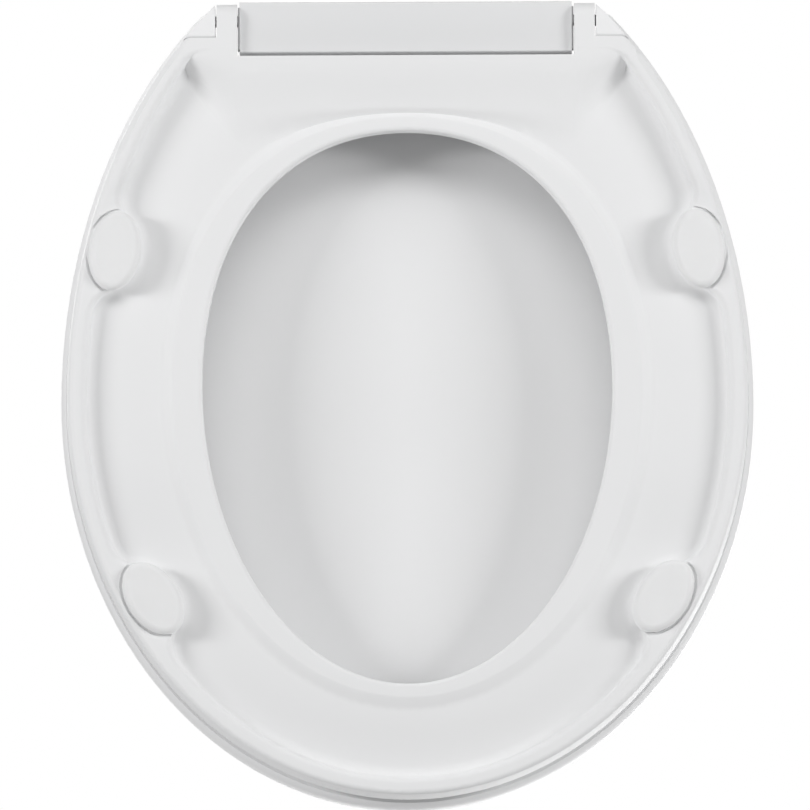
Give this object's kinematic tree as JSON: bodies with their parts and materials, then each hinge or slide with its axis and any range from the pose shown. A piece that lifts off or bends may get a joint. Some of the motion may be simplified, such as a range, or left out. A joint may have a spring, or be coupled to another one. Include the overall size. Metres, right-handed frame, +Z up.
{
  "type": "toilet seat",
  "caption": "Oval white toilet seat with a closed crowned lid, a moulded ring with a wavy underside and oval buffers, and a slotted hinge bar that bolts to the bowl.",
  "frame": {"origin": "middle of the plan, on the surface that the buffers rest on, with the lid closed", "axes": "+Z up from the bowl, -Y towards the front of the seat, +Y towards the hinge, X along the hinge line"},
  "size_m": [0.37, 0.435, 0.052],
  "materials": {
    "moulding": "white glossy thermoset moulding",
    "buffer": "white soft satin plastic",
    "pin": "white satin plastic"
  },
  "bodies": {
    "seat": {"seat_ring": "moulding", "seat_buffer_rear_left": "buffer", "seat_buffer_rear_right": "buffer", "seat_buffer_front_left": "buffer", "seat_buffer_front_right": "buffer", "hinge_pin_left": "pin", "hinge_pin_right": "pin"},
    "bar": {"hinge_bar": "moulding", "bar_cover": "moulding"},
    "lid": {"lid": "moulding", "lid_buffer_left": "buffer", "lid_buffer_right": "buffer"}
  },
  "joints": [
    {"name": "bar_hinge", "type": "hinge", "parent": "seat", "child": "bar", "pos_m": [0, 0.2079, 0.0096], "axis": [1, 0, 0], "range_deg": [-90, 0]},
    {"name": "lid_hinge", "type": "hinge", "parent": "seat", "child": "lid", "pos_m": [0, 0.2079, 0.0096], "axis": [-1, 0, 0], "range_deg": [0, 100]}
  ]
}
